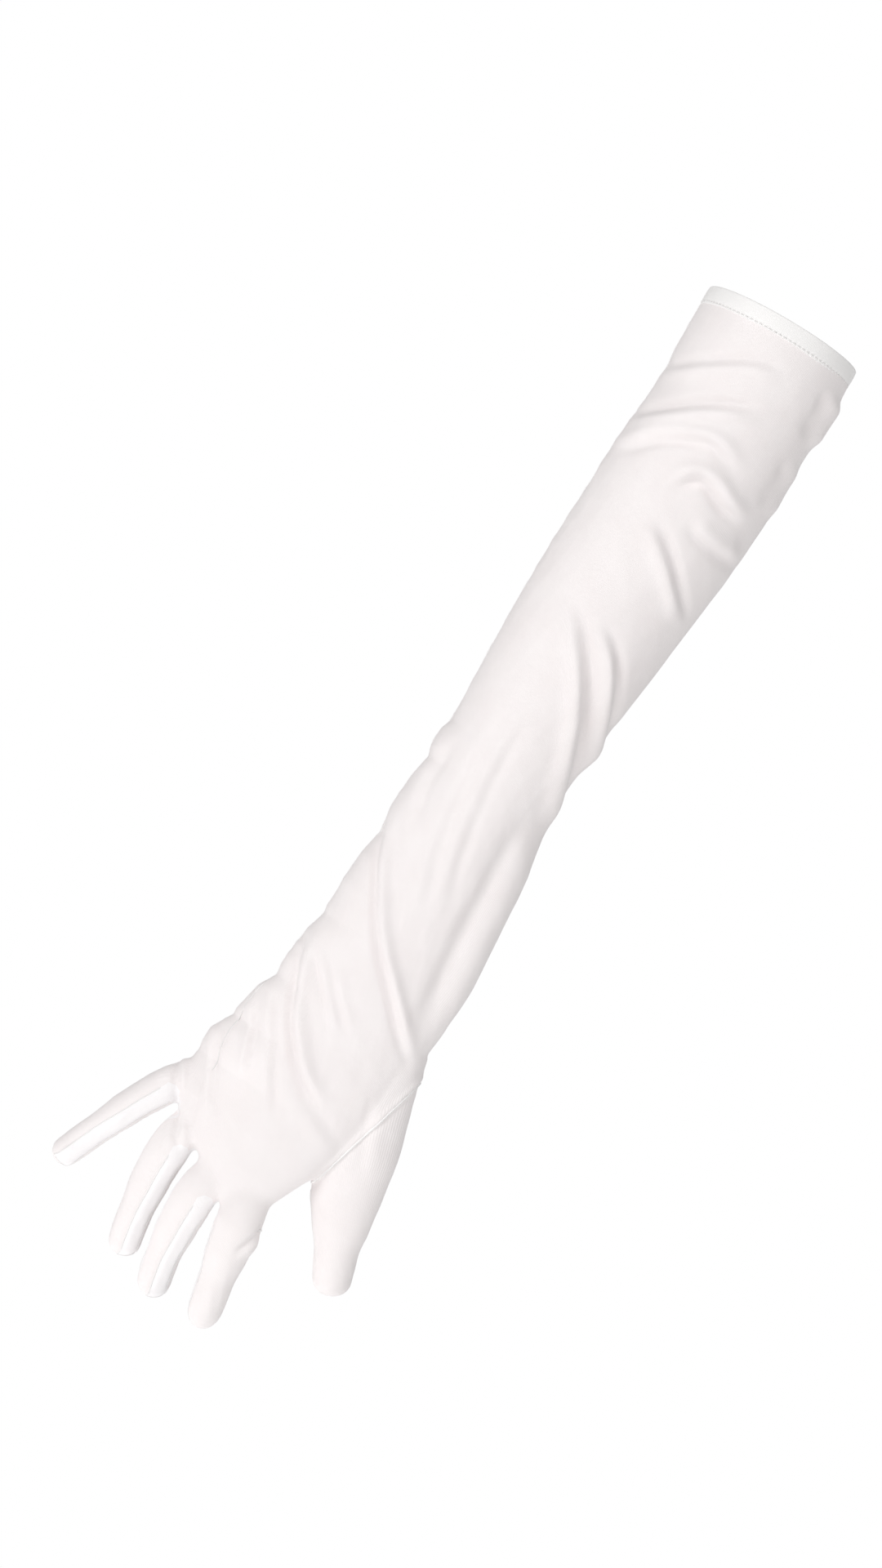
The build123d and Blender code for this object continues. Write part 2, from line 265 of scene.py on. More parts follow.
class BentFinger:
    """A finger's own space: lateral to the thumb side, height over its middle line, and the way along."""

    def __init__(self, finger):
        base, tip = np.array(finger.base), np.array(finger.tip)
        chord = tip - base
        along = chord / np.linalg.norm(chord)
        level = np.cross((0, -1, 0), along)
        level /= np.linalg.norm(level)
        out = np.cross(along, level)
        roll, half = radians(finger.roll), radians(finger.bend / 2)
        self.lateral = level * cos(roll) + out * sin(roll)
        rolled = np.cross(along, self.lateral)
        self.up = rolled * cos(half) - along * sin(half)
        self.along = np.cross(self.lateral, self.up)
        self.length = np.linalg.norm(chord) * half / sin(half)
        self.radius = self.length / radians(finger.bend)
        self.base = base
        self.finger = finger
        turn = radians(finger.twist)
        self.turn = np.array(((cos(turn), -sin(turn)), (sin(turn), cos(turn))))

    def world(self, local):
        """From the finger's own space to the row frame, in millimetres."""
        turn = local[:, 2] / self.radius
        reach = self.radius + local[:, 1]
        return (
            self.base - self.up * self.radius + local[:, :1] * self.lateral
            + (reach * np.cos(turn))[:, None] * self.up + (reach * np.sin(turn))[:, None] * self.along
        )

    def local(self, points):
        """From the row frame to the finger's own space, in millimetres."""
        offset = points - (self.base - self.up * self.radius)
        up, along = offset @ self.up, offset @ self.along
        way = np.arctan2(along, up) * self.radius
        return np.stack([offset @ self.lateral, np.hypot(up, along) - self.radius, way], axis=1)

    def twisted(self, points):
        """As local, but turned round the middle line so that lateral points out of the strip."""
        place = self.local(points)
        place[:, :2] = place[:, :2] @ self.turn
        return place

    def untwisted(self, local):
        """From twisted places back to the row frame."""
        place = np.array(local)
        place[:, :2] = place[:, :2] @ self.turn.T
        return self.world(place)

    def halves(self, share):
        """Half the width and half the depth at that share of the length."""
        finger = self.finger
        narrowing = np.interp(share, [0, 0.35, 0.7, 1], [0, 0.5, 0.85, 1])
        knuckle = 0.035 * (np.exp(-((share - 0.36) / 0.1) ** 2) - np.exp(-((share - 0.62) / 0.12) ** 2))
        width = finger.width + (finger.tip_width - finger.width) * narrowing
        depth = finger.depth + (finger.tip_width - finger.depth) * narrowing
        return width * (1 + knuckle), depth * (1 + knuckle)


bent = {finger.name: BentFinger(finger) for finger in fingers}

# The ball of the thumb, from the wrist down to the thumb's base: centre, tilt, half width, half depth.
thumb_ball = [
    (11.0, 1.0, -396.0, 0.0, 21.5, 17.0),
    (17.5, 2.0, -424.0, 5.0, 21.0, 15.0),
    (26.0, 3.5, -452.0, 14.0, 21.0, 14.5),
]
thumb_base_tilt = 24.0
knuckle_out = hand_axes(hand[-2].tilt, hand[-2].roll)[1]


def finger_form(finger):
    """Stump inside the hand, shaft, and a dome at the tip."""
    space = bent[finger.name]
    lateral, up = np.array((1.0, 0, 0)), np.array((0, 1.0, 0))
    dome_start = space.length - finger.tip_width / finger.point
    rings = []
    for along in np.linspace(0, dome_start, 40):
        width, depth = space.halves(along / dome_start)
        rings.append(space.world(ring((0, 0, along), lateral, up, width, depth)))
    for angle in np.linspace(0, pi / 2, 14)[1:-1]:
        size = finger.tip_width * cos(angle) ** 0.9
        along = dome_start + (space.length - dome_start) * sin(angle)
        rings.append(space.world(ring((0, 0, along), lateral, up, size, size)))
    if finger is thumb:
        root = []
        base = (*finger.base, thumb_base_tilt, finger.width, finger.depth)
        for x, y, z, tilt, half_width, half_depth in flowing([*thumb_ball, base])[:-6]:
            across = np.array((cos(radians(tilt)), 0, sin(radians(tilt))))
            root.append(ring((x, y, z), across, (0, -1.0, 0), half_width, half_depth))
        return tube("thumb_form", root + rings)
    middle, root = rings[0].mean(axis=0), []
    for step in np.linspace(1, 0.15, 6):
        centre = middle - space.along * finger.stub * step
        risen = (centre - np.array(hand[-2].centre)) @ knuckle_out
        centre = centre - knuckle_out * risen * smooth_step(step, 0.1, 1.0)
        root.append(centre + (rings[0] - middle) * (1 - 0.35 * step**2))
    return tube(finger.name + "_form", root + rings)


forms = [tube("arm_form", [ring((c, 0, h), (1, 0, 0), (0, 1, 0), w, d) for h, c, w, d in flowing(arm)])]
palm_rows = flowing([(*s.centre, s.tilt, s.roll, s.half_width, s.half_depth) for s in hand], rounds=6)
palm_rings = []
for x, y, z, tilt, roll, half_width, half_depth in palm_rows:
    across, out, along = hand_axes(tilt, roll)
    palm_rings.append(ring((x, y, z), across, out, half_width, half_depth))
palm_rings.insert(0, palm_rings[0] + np.array((0, 0, 6.0)))
forms.append(tube("hand_form", palm_rings))
forms += [finger_form(finger) for finger in fingers]

with bpy.context.temp_override(active_object=forms[0], selected_editable_objects=forms, object=forms[0]):
    bpy.ops.object.join()
worn = forms[0]
union = worn.modifiers.new("union", "REMESH")
union.mode = "VOXEL"
union.voxel_size = fineness
whole = bmesh.new()
whole.from_mesh(worn.evaluated_get(bpy.context.evaluated_depsgraph_get()).to_mesh())
bpy.data.objects.remove(worn)


def positions(mesh):
    """The places of all vertices, in metres."""
    return np.array([v.co for v in mesh.verts])


def put(mesh, points):
    """Moves all vertices to those places."""
    for v, p in zip(mesh.verts, points):
        v.co = p


def edge_ends(mesh):
    """The numbers of the two vertices of each edge."""
    return np.array([(e.verts[0].index, e.verts[1].index) for e in mesh.edges])


def pull(points, ends):
    """The way from each point to the middle of its neighbours."""
    count = np.bincount(ends.ravel(), minlength=len(points))[:, None]
    total = np.stack([
        np.bincount(ends[:, 0], points[ends[:, 1], i], len(points))
        + np.bincount(ends[:, 1], points[ends[:, 0], i], len(points)) for i in range(3)
    ], axis=1)
    return total / count - points


def relaxed(points, ends, rounds):
    """Evens the points out, then lets them part of the way back, which keeps the size."""
    for _ in range(rounds):
        for step in (0.52, -0.54):
            points = points + pull(points, ends) * step
    return points


def softened(points, ends, rounds, weight):
    """As relaxed, but it shrinks what sticks out, to round off a crotch."""
    for _ in range(rounds):
        points = points + pull(points, ends) * 0.5 * weight[:, None]
    return points


whole.verts.ensure_lookup_table()
whole.verts.index_update()
points, ends = positions(whole), edge_ends(whole)
points = relaxed(points, ends, even_rounds)
root_blend = np.zeros(len(points))
for finger in fingers:
    place = bent[finger.name].local(points / MM)
    spread = 18.0 if finger is thumb else 12.0
    near = np.exp(-((place[:, 2] + spread * 0.6) / spread) ** 2)
    near = near * (np.hypot(place[:, 0], place[:, 1]) < 2.4 * finger.width)
    root_blend = np.maximum(root_blend, near)
points = softened(points, ends, crotch_rounds, root_blend)
put(whole, points)


# ---- Cutting out ----
# The pattern: one trank for arm, back of hand and palm, the thumb set in along a slanting seam, and
# fourchettes, the narrow strips between the fingers. Each cut is a clean line in the mesh, so that
# every panel ends on its seam.
fourchette_half = 4.6
fourchette_stop = 0.35  # how far before the tip a strip ends, in tip widths
root_ahead = 2.0  # a finger's cloth starts this far before its hinge line
sleeve_join = -270.0  # where the two lengths of the trank's mesh meet, in the forearm
sleeve_top = -5.0  # the cloth's raw edge, hidden in the turned hem
thumb_seam_top = np.array((37.0, 0.0, -402.0))
thumb_seam_bottom = np.array((15.0, 0.0, -476.0))
crotches = {
    "crotch_index_middle": (-19.8, 0.0, -509.0),
    "crotch_middle_ring": (-44.5, 6.0, -498.0),
    "crotch_ring_little": (-63.5, 12.0, -479.5),
}
crotch_half_width, crotch_half_depth, crotch_back = 7.0, 4.6, 8.0
crotch_reach = 14.0  # no crotch panel lies further from its middle
strip_root = 7.0  # how far a strip's rounded end reaches into the hand's cloth
strip_corner = 2.6  # how much is taken off the corners of that end
strip_ends = {"middle": "crotch_index_middle", "ring": "crotch_middle_ring", "little": "crotch_ring_little"}

closed_outside = {"little": [], "thumb": []}  # fingers with a seam down the side away from the thumb

panel = whole.faces.layers.int.new("panel")
names = ["trank"]


def panel_number(name):
    """The number that marks a panel's faces; the trank is 0."""
    if name not in names:
        names.append(name)
    return names.index(name)


def strip_name(finger, side):
    """The fourchette on the thumb's side of a finger is its inner one."""
    return f"{finger.name}_fourchette_{'inner' if side > 0 else 'outer'}"


def cut(faces, place, normal, snap=1e-7):
    """Splits those faces along a plane. Gives back the new edges and vertices."""
    geometry = set(faces)
    for face in faces:
        geometry.update(face.edges)
        geometry.update(face.verts)
    result = bmesh.ops.bisect_plane(
        whole, geom=list(geometry), dist=snap, plane_co=place, plane_no=normal,
    )
    return result["geom_cut"]


def cut_finger(finger):
    """Straightens the finger, cuts its root and its strips, names its faces, and bends it back."""
    space = bent[finger.name]
    whole.verts.index_update()
    whole.verts.ensure_lookup_table()
    places = space.twisted(positions(whole) / MM)
    apart = np.hypot(places[:, 0] / finger.width, places[:, 1] / finger.depth)
    start, end_start = -root_ahead, -root_ahead - strip_root
    inside = (apart < 1.6) & (places[:, 2] > end_start - 4)
    region = {whole.verts[i] for i in np.nonzero(inside)[0]}
    for v in region:
        v.co = Vector(places[v.index])

    def faces_where(test):
        """The finger's faces whose middle passes the test."""
        found = set()
        for v in region:
            for face in v.link_faces:
                if face in found or not all(w in region for w in face.verts):
                    continue
                if test(face.calc_center_median()):
                    found.add(face)
        return found

    def slice_at(test, place, normal):
        """Cuts those faces, and gives back the new edges."""
        parts = cut(faces_where(test), place, normal, 1e-5)
        region.update(g for g in parts if isinstance(g, bmesh.types.BMVert))
        return [g for g in parts if isinstance(g, bmesh.types.BMEdge)]

    slice_at(lambda c: abs(c.z - start) < 4, (0, 0, start), (0, 0, 1))
    stop = space.length - finger.tip_width * fourchette_stop
    for side in finger.strips:
        for height in (fourchette_half, -fourchette_half):
            slice_at(
                lambda c: c.x * side > -1 and start < c.z < stop + 2 and abs(c.y - height) < 4,
                (0, height, 0), (0, 1, 0),
            )
        slice_at(
            lambda c: c.x * side > -1 and abs(c.y) < fourchette_half and abs(c.z - stop) < 4,
            (0, 0, stop), (0, 0, 1),
        )
    if finger.name in strip_ends:
        for slant in (0, 1):
            for side in (1, -1):
                corner = end_start + strip_corner * slant
                slice_at(
                    lambda c: c.x > 0 and end_start - 3 < c.z < start and abs(c.y) < 9,
                    (0, side * fourchette_half, corner), (0, side, -1) if slant else (0, 1, 0),
                )
        slice_at(
            lambda c: c.x > 0 and abs(c.z - end_start) < 4 and abs(c.y) < 9,
            (0, 0, end_start), (0, 0, 1),
        )
        for face in faces_where(lambda c: c.x > 0 and end_start < c.z < start and abs(c.y) < fourchette_half):
            c = face.calc_center_median()
            if abs(c.y) - c.z < fourchette_half - end_start - strip_corner:
                face[panel] = panel_number(strip_ends[finger.name])
    if finger.name in closed_outside:
        closed_outside[finger.name] = slice_at(
            lambda c: c.x < 1 and start < c.z and abs(c.y) < 4, (0, 0, 0), (0, 1, 0),
        )
    for face in faces_where(lambda c: c.z > start):
        c = face.calc_center_median()
        side = 1 if c.x > 0 else -1
        if side in finger.strips and abs(c.y) < fourchette_half and c.z < stop:
            face[panel] = panel_number(strip_name(finger, side))
        else:
            face[panel] = panel_number(f"{finger.name}_cloth")
    region = list(region)
    back = space.untwisted(np.array([v.co for v in region])) * MM
    for v, p in zip(region, back):
        v.co = Vector(p)


for finger in fingers:
    cut_finger(finger)


def loose_faces(test):
    """The trank's faces whose middle passes the test."""
    return [f for f in whole.faces if f[panel] == 0 and test(f.calc_center_median())]


seam_run = thumb_seam_bottom - thumb_seam_top
seam_side = np.cross((0, 1, 0), seam_run)
seam_side /= np.linalg.norm(seam_side)
if seam_side[0] < 0:
    seam_side = -seam_side
seam_start, seam_normal = Vector(thumb_seam_top) * MM, Vector(seam_side)
cut(
    loose_faces(lambda c: c.z < -0.385 and c.x > 0 and abs((c - seam_start).dot(seam_normal)) < 4 * MM),
    seam_start, seam_normal,
)
for face in loose_faces(lambda c: c.z < -0.398 and (c - seam_start).dot(seam_normal) > 0):
    face[panel] = panel_number("thumb_root")

palm_across, palm_out, palm_along = (Vector(v) for v in hand_axes(hand[-1].tilt, hand[-1].roll))
for name, place in crotches.items():
    middle = Vector(place) * MM
    sides = [
        (palm_out, crotch_half_depth * MM), (-palm_out, crotch_half_depth * MM),
        (palm_across, crotch_half_width * MM), (-palm_across, crotch_half_width * MM),
        (-palm_along, crotch_back * MM),
    ]
    for normal, distance in sides:
        around = loose_faces(lambda c: (c - middle).length < crotch_reach * MM)
        cut(around, middle + normal * distance, normal)
    inside = loose_faces(
        lambda c: (c - middle).length < crotch_reach * MM and all((c - middle).dot(n) < d for n, d in sides)
    )
    for face in inside:
        face[panel] = panel_number(name)

join, top, wrist_line = sleeve_join * MM, sleeve_top * MM, wrist["pos_m"][2]
cut(loose_faces(lambda c: abs(c.z - join) < 4 * MM), Vector((0, 0, join)), Vector((0, 0, 1)))
cut(loose_faces(lambda c: c.z > -12 * MM), Vector((0, 0, top)), Vector((0, 0, 1)))
bmesh.ops.delete(whole, geom=loose_faces(lambda c: c.z > top), context="FACES")
side_faces = loose_faces(lambda c: c.x < -20 * MM and abs(c.y) < 4 * MM and c.z > wrist_line - 70 * MM)
cut(side_faces, Vector((0, 0, 0)), Vector((0, 1, 0)))
for face in loose_faces(lambda c: c.z > join):
    face[panel] = panel_number("upper_sleeve")


def on_side_seam(v):
    """Whether a vertex lies on the closing seam down the little-finger side, below the hem."""
    return abs(v.co.y) < 1e-6 and v.co.x < -0.02 and v.co.z < -0.0055


side_edges = [e for e in whole.edges if all(on_side_seam(v) for v in e.verts)]


# ---- Folds ----
# Where the knit is loose on the arm it falls into folds. The long ones wind from the outside of the
# elbow to the thumb, the cloth above the elbow lies in short level ones, and the hand has fine ones
# from the little-finger edge. Each fold is a ridge with a hollow along one side.
Fold = namedtuple("Fold", "line height width hollow")
front_folds = [  # line, height, width, and the side that the hollow is on
    ([(-44, -54), (-24, -41), (-2, -29), (14, -27)], 1.1, 3.6, 1),
    ([(-44, -82), (-30, -71), (-9, -57), (14, -47)], 1.9, 3.8, 1),
    ([(-46, -94), (-30, -78), (-18, -71), (-4, -66), (8, -68), (20, -73)], 1.8, 3.8, -1),
    ([(-14, -96), (-2, -84), (8, -83), (20, -88), (34, -90)], 2.3, 4.2, -1),
    ([(8, -104), (18, -107), (30, -108), (40, -106)], 1.4, 4.5, -1),
    ([(-12, -118), (4, -129), (18, -142), (30, -154)], 1.9, 4.0, 1),
    ([(39, -14), (43, -28), (41, -46)], 2.2, 5.0, -1),
    ([(40, -52), (43, -68), (40, -86)], 1.3, 5.0, -1),
    ([(-30, -168), (-14, -182), (2, -204), (14, -232), (24, -268), (27, -292)], 2.7, 4.6, 1),
    ([(-8, -172), (8, -184), (19, -204), (28, -232), (30, -250)], 2.1, 3.6, 1),
    ([(22, -262), (25, -300), (27, -335), (31, -372), (35, -392)], 2.5, 7.5, -1),
    ([(-46, -288), (-36, -320), (-18, -352), (4, -376), (24, -396), (34, -404)], 2.2, 3.2, -1),
    ([(-46, -366), (-40, -390), (-30, -412), (-15, -430), (4, -441)], 2.5, 3.6, -1),
    ([(-42, -372), (-29, -388), (-12, -408)], 0.9, 2.8, -1),
    ([(-34, -372), (-20, -388), (-4, -404)], 0.6, 2.6, -1),
    ([(-54, -398), (-44, -418), (-33, -438), (-20, -462)], 1.1, 2.8, 1),
    ([(-58, -411), (-48, -432), (-41, -452)], 1.0, 2.4, 1),
    ([(-66, -430), (-59, -452), (-46, -478)], 1.0, 2.6, 1),
    ([(-74, -452), (-63, -470), (-52, -488), (-44, -497)], 1.4, 2.8, -1),
    ([(2, -528), (8, -510), (9, -496)], 1.2, 2.2, 1),
    ([(-26, -226), (-26, -262), (-20, -306), (-8, -344)], 0.7, 4.0, 1),
    ([(-16, -222), (-15, -262), (-9, -304), (2, -340)], 0.7, 4.0, 1),
    ([(-40, -250), (-40, -280), (-34, -305)], 0.9, 3.4, 1),
    ([(-30, -436), (-14, -446), (6, -455), (20, -462)], 0.5, 4.5, 1),
    ([(22, -420), (30, -440), (38, -462)], 0.5, 4.0, -1),
]
back_folds = [
    ([(-40, -44), (-20, -50), (6, -46), (36, -52)], 1.4, 4.0, -1),
    ([(-42, -78), (-16, -86), (14, -80), (38, -88)], 1.8, 4.4, -1),
    ([(-38, -110), (-10, -118), (22, -112), (40, -120)], 1.6, 4.0, 1),
    ([(-40, -142), (-16, -146), (10, -152), (32, -148)], 1.2, 4.0, -1),
    ([(26, -176), (16, -208), (-2, -242), (-24, -272)], 2.2, 5.0, 1),
    ([(14, -170), (4, -200), (-14, -228), (-32, -248)], 1.6, 4.2, 1),
    ([(24, -250), (18, -290), (2, -326), (-22, -354)], 2.0, 5.0, 1),
    ([(26, -300), (14, -334), (-8, -362), (-34, -380)], 1.8, 4.2, 1),
    ([(-44, -392), (-24, -398), (0, -400), (26, -396)], 1.3, 3.2, -1),
    ([(-40, -408), (-20, -412), (4, -410), (22, -404)], 0.9, 2.8, -1),
    ([(22, -418), (6, -434), (-2, -456), (-4, -478)], 1.2, 4.0, 1),
    ([(-50, -436), (-34, -446), (-18, -462)], 0.9, 3.2, 1),
    ([(-56, -470), (-38, -480), (-22, -494)], 0.8, 3.0, -1),
]
fold_ends = 0.28  # the share of a fold's length over which it fades in and out
hollow_distance, hollow_width, hollow_depth = 1.4, 0.7, 0.95  # a hollow's, against its ridge's
front_strength, back_strength = 1.3, 0.8
side_notches = [248, 268, 312, 360, 398, 426, 450]  # down the little-finger side, where folds draw it in
side_bulge = 2.4  # how far the cloth stands out between them
arm_middle, arm_radius = -8.0, 38.0  # the middle line that the creases wind round


def curve_through(line, steps=10):
    """A smooth line through a few points."""
    line = np.array([2 * np.array(line[0]) - line[1], *line, 2 * np.array(line[-1]) - line[-2]], float)
    out = []
    for a, b, c, d in zip(line, line[1:], line[2:], line[3:]):
        for t in np.linspace(0, 1, steps, endpoint=False):
            square, cube = 2 * a - 5 * b + 4 * c - d, 3 * b - a - 3 * c + d
            out.append(0.5 * (2 * b + (c - a) * t + square * t**2 + cube * t**3))
    out.append(line[-2])
    return np.array(out)


def beside(places, line):
    """How far each place lies to the left of a line, and at which share of its length."""
    line = curve_through(line)
    best = np.full(len(places), 1e9)
    signed = np.zeros(len(places))
    share = np.zeros(len(places))
    lengths = np.concatenate([[0], np.cumsum(np.linalg.norm(np.diff(line, axis=0), axis=1))])
    for i, (a, b) in enumerate(zip(line, line[1:])):
        run = b - a
        size = np.linalg.norm(run)
        t = np.clip((places - a) @ run / size**2, 0, 1)
        offset = places - (a + t[:, None] * run)
        distance = np.linalg.norm(offset, axis=1)
        closer = distance < best
        side = np.sign(run[0] * offset[:, 1] - run[1] * offset[:, 0])
        best = np.where(closer, distance, best)
        signed = np.where(closer, side * distance, signed)
        share = np.where(closer, (lengths[i] + t * size) / lengths[-1], share)
    return signed, share


def fold_height(places, fold):
    """The fold's rise over the smooth cloth."""
    low, high = np.min(fold.line, axis=0) - 5 * fold.width, np.max(fold.line, axis=0) + 5 * fold.width
    rise = np.zeros(len(places))
    near = np.all((places > low) & (places < high), axis=1)
    signed, share = beside(places[near], fold.line)
    ridge = np.exp(-((signed / fold.width) ** 2))
    aside = signed - fold.hollow * hollow_distance * fold.width
    hollow = np.exp(-((aside / (hollow_width * fold.width)) ** 2))
    fade = smooth_step(share, 0, fold_ends) * (1 - smooth_step(share, 1 - fold_ends, 1))
    rise[near] = fold.height * (ridge - hollow_depth * hollow) * fade
    return rise


def ripple(places, seed, length, stretch, angle):
    """Soft uneven creases, roughly at an angle: bent waves of several lengths over each other."""
    dice = np.random.default_rng(seed)
    total = np.zeros(len(places))
    for _ in range(7):
        turn = angle + dice.normal(0, 0.28)
        across = places @ np.array((np.cos(turn), np.sin(turn)))
        along = places @ np.array((-np.sin(turn), np.cos(turn)))
        wave = length * dice.uniform(0.7, 1.5)
        sway = dice.uniform(0.6, 1.4) * wave * 0.6
        sway = sway * np.sin(along / (wave * stretch) + dice.uniform(0, 6.28))
        drift = along / (wave * stretch * 0.8) + across / (wave * 2.1)
        patch = 0.5 + 0.5 * np.sin(drift + dice.uniform(0, 6.28))
        crest = 0.5 + 0.5 * np.cos((across + sway) * 2 * pi / wave + dice.uniform(0, 6.28))
        total += crest**2.5 * patch**1.5
    return total / 7 - 0.16


whole.normal_update()
whole.verts.index_update()
whole.verts.ensure_lookup_table()
points = positions(whole) / MM
normals = np.array([v.normal for v in whole.verts])
flat = points[:, [0, 2]]
facing = smooth_step(-normals[:, 1], -0.25, 0.25)
rise = np.zeros(len(points))
on_finger = np.zeros(len(points))
for face in whole.faces:
    name = names[face[panel]]
    if name.split("_")[0] in bent and name != "thumb_root":
        for v in face.verts:
            on_finger[v.index] = 1
calm = 1 - smooth_step(points[:, 2], -22, -11)
for fold in front_folds:
    rise += front_strength * fold_height(flat, Fold(*fold)) * facing
for fold in back_folds:
    rise += back_strength * fold_height(flat, Fold(*fold)) * (1 - facing)
arm_angle = np.arctan2(points[:, 1], points[:, 0] - arm_middle)
wrapped = np.stack([arm_angle * arm_radius, points[:, 2]], axis=1)
off_finger = 1 - on_finger
lower = smooth_step(-points[:, 2], 200, 380)
calmer_hand = 1 - 0.7 * smooth_step(-points[:, 2], 430, 470)
rise += 0.7 * ripple(wrapped, 3, 15, 4.0, 0.45) * off_finger * calmer_hand
rise += 0.3 * ripple(wrapped, 5, 8, 4.5, 0.6) * lower * off_finger * calmer_hand
edge = np.exp(-(((pi - np.abs(arm_angle)) / 0.6) ** 2)) * (points[:, 2] > -470)
between = np.interp(-points[:, 2], side_notches, np.arange(len(side_notches)))
rise += side_bulge * edge * np.abs(np.sin(pi * between)) ** 0.8 * off_finger
rise += 1.6 * edge * ripple(wrapped, 11, 17, 1.6, 1.2) * off_finger
for number, finger in enumerate(fingers):
    space = bent[finger.name]
    place = space.twisted(points)
    around = np.stack([np.arctan2(place[:, 1], place[:, 0]) * finger.width, place[:, 2]], axis=1)
    mine = on_finger * (np.hypot(place[:, 0], place[:, 1]) < 1.5 * finger.width)
    mine = mine * smooth_step(place[:, 2], -2, 6)
    mine = mine * (1 - smooth_step(place[:, 2], space.length - 14, space.length - 5))
    rise += 0.5 * ripple(around, 20 + number, 9, 2.2, 0.3) * mine
    for strip_side in finger.strips:
        for height in (fourchette_half, -fourchette_half):
            gap = np.abs(place[:, 1] - height) + 40 * (place[:, 0] * strip_side < 0)
            rise -= 0.38 * np.exp(-((gap / 0.8) ** 2)) * mine
            stitch_pull = 1 + 0.6 * np.sin(place[:, 2] * 2.1)
            rise += 0.16 * np.exp(-(((gap - 2.2) / 1.2) ** 2)) * mine * stitch_pull

seam_gap = (points - thumb_seam_top) @ seam_side
seam_along = (points - thumb_seam_top) @ seam_run / (seam_run @ seam_run)
on_seam = smooth_step(seam_along, -0.08, 0.02) * (1 - smooth_step(seam_along, 1.0, 1.08)) * (points[:, 0] > 5)
rise += on_seam * 0.75 * np.exp(-(((seam_gap + 1.0) / 1.3) ** 2))
rise -= on_seam * 0.35 * np.exp(-(((seam_gap - 1.6) / 1.2) ** 2))
rise -= on_seam * 0.25 * np.exp(-((seam_gap / 0.7) ** 2))
side_gap = np.abs(points[:, 1]) + 50 * (points[:, 0] > -20)
rise -= 0.3 * np.exp(-((side_gap / 0.9) ** 2)) * off_finger * (points[:, 2] > -455)
rise *= calm

points = points + normals * rise[:, None]
put(whole, points * MM)
whole.verts.index_update()
settled = relaxed(positions(whole), edge_ends(whole), 2)
put(whole, settled)
whole.normal_update()
all_points = positions(whole)
all_normals = np.array([v.normal for v in whole.verts])


# ---- Cloth and its material ----
# White stretch satin: a fine warp knit with a soft, even sheen. Its wales run along the arm. The
# fourchettes are cut across, so they are smoother and catch more light; their lighter base colour is
# painted highlight. In the hollows the white turns a little warm.
cloth_thickness = 0.55 * MM
wale_pitch = 0.62 * MM


def satin(name, colour, shade, roughness, sheen, grain):
    """Knit grain as fine ribs broken by a small mottle, over cloth that varies slightly in tone."""
    material = bpy.data.materials.new(name)
    material.use_nodes = True
    tree = material.node_tree
    nodes, links = tree.nodes, tree.links
    shader = nodes["Principled BSDF"]
    dial(shader, {"Roughness": roughness, "Specular IOR Level": 0.35})
    dial(shader, {"Sheen Weight": sheen, "Sheen Roughness": 0.4})
    where = nodes.new("ShaderNodeUVMap")
    where.uv_map = "cloth"
    place = nodes.new("ShaderNodeTexCoord")
    mottle = nodes.new("ShaderNodeTexNoise")
    dial(mottle, {"Scale": 60, "Detail": 6})
    links.new(place.outputs["Object"], mottle.inputs["Vector"])
    ramp = nodes.new("ShaderNodeValToRGB")
    for stop, position, tone in zip(ramp.color_ramp.elements, (0.3, 0.7), (shade, colour)):
        stop.position = position
        stop.color = (*tone, 1)
    links.new(mottle.outputs["Fac"], ramp.inputs["Fac"])
    links.new(ramp.outputs["Color"], shader.inputs["Base Color"])
    wales = nodes.new("ShaderNodeTexWave")
    wales.wave_type = "BANDS"
    wales.bands_direction = "X"
    dial(wales, {"Scale": 1 / wale_pitch / 3.2, "Distortion": 1.2, "Detail": 2})
    links.new(where.outputs["UV"], wales.inputs["Vector"])
    fuzz = nodes.new("ShaderNodeTexNoise")
    dial(fuzz, {"Scale": 900, "Detail": 3})
    links.new(place.outputs["Object"], fuzz.inputs["Vector"])
    both = nodes.new("ShaderNodeMath")
    both.operation = "ADD"
    links.new(wales.outputs["Fac"], both.inputs[0])
    links.new(fuzz.outputs["Fac"], both.inputs[1])
    bump = nodes.new("ShaderNodeBump")
    dial(bump, {"Strength": grain, "Distance": 0.00025})
    links.new(both.outputs["Value"], bump.inputs["Height"])
    links.new(bump.outputs["Normal"], shader.inputs["Normal"])
    return material


glove_satin = satin("glove_satin", (0.93, 0.885, 0.88), (0.905, 0.855, 0.85), 0.52, 0.25, 0.25)
hem_satin = satin("hem_satin", (0.95, 0.935, 0.925), (0.93, 0.915, 0.905), 0.5, 0.25, 0.25)
# The fourchettes' lighter base colour is painted highlight; their lower roughness and stronger sheen are the
# cloth's own.
fourchette_satin = satin("fourchette_satin", (0.97, 0.95, 0.955), (0.95, 0.925, 0.93), 0.34, 0.35, 0.25)


def cloth_uv(points, name):
    """Across and along the cloth, in metres: round the arm, or round the finger."""
    finger = name.split("_")[0]
    if finger in bent and name != "thumb_root":
        place = bent[finger].local(points / MM)
        return np.stack([np.arctan2(place[:, 1], place[:, 0]) * 9.5 * MM, place[:, 2] * MM], axis=1)
    turn = np.arctan2(points[:, 1], points[:, 0] - arm_middle * MM)
    return np.stack([turn * arm_radius * MM, points[:, 2]], axis=1)


